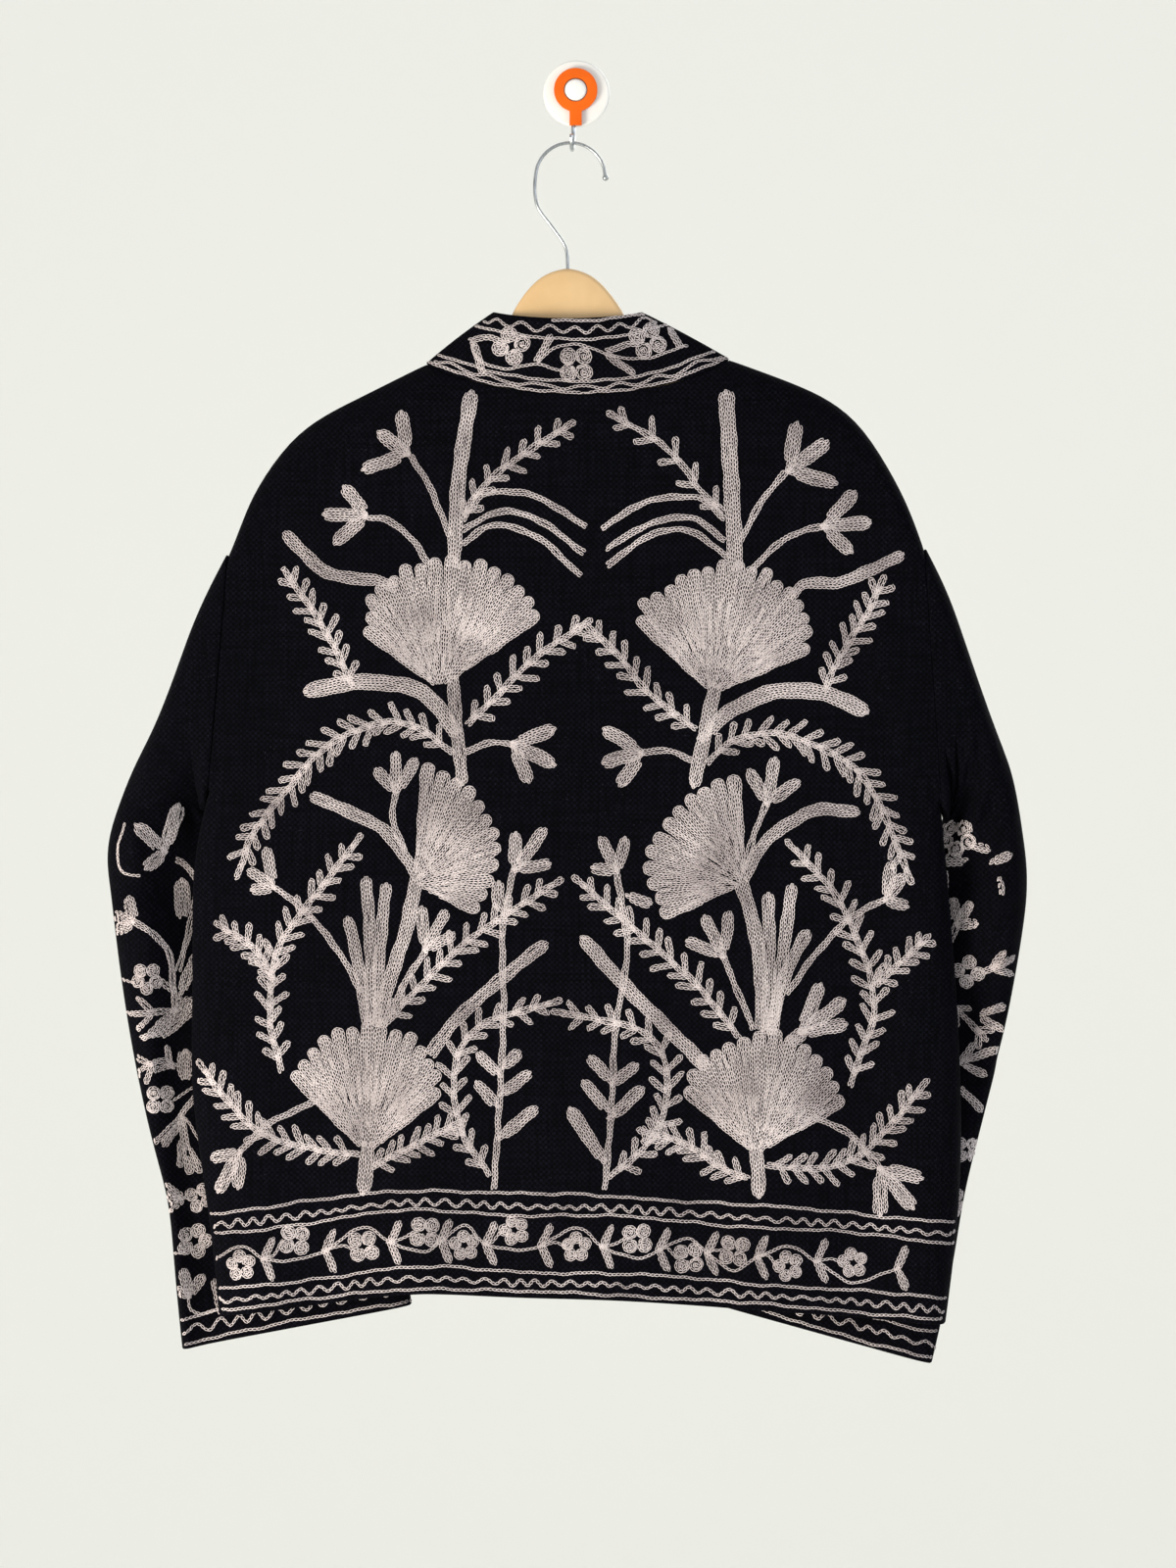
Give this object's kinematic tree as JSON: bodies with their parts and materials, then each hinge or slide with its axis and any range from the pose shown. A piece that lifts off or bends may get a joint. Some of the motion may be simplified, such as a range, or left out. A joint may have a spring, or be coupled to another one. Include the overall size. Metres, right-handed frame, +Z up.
{
  "type": "embroidered jacket on a hanger and wall hook",
  "caption": "Short open-hem cloth jacket with a stand collar and wide sleeves, hung back outwards on a shaped hanger from a round wall hook.",
  "frame": {"origin": "centre of the wall disc's back face, on the wall", "axes": "+Z up along the wall, +Y into the wall, so the jacket hangs on the -Y side with its back turned to -Y; +X to the right of someone who faces the wall"},
  "size_m": [0.6322, 0.0574, 0.8984],
  "materials": {
    "cloth": "coarse matt weave",
    "hanger": "smooth satin",
    "wire": "bright drawn wire",
    "white_plastic": "smooth gloss",
    "orange_plastic": "smooth gloss"
  },
  "bodies": {
    "root": {"back": "cloth", "left_front": "cloth", "right_front": "cloth", "left_sleeve": "cloth", "right_sleeve": "cloth", "collar": "cloth", "hanger": "hanger", "hanger_hook": "wire", "wall_disc": "white_plastic", "wall_ring": "orange_plastic", "wall_button": "white_plastic", "wall_pin": "wire"}
  },
  "joints": []
}
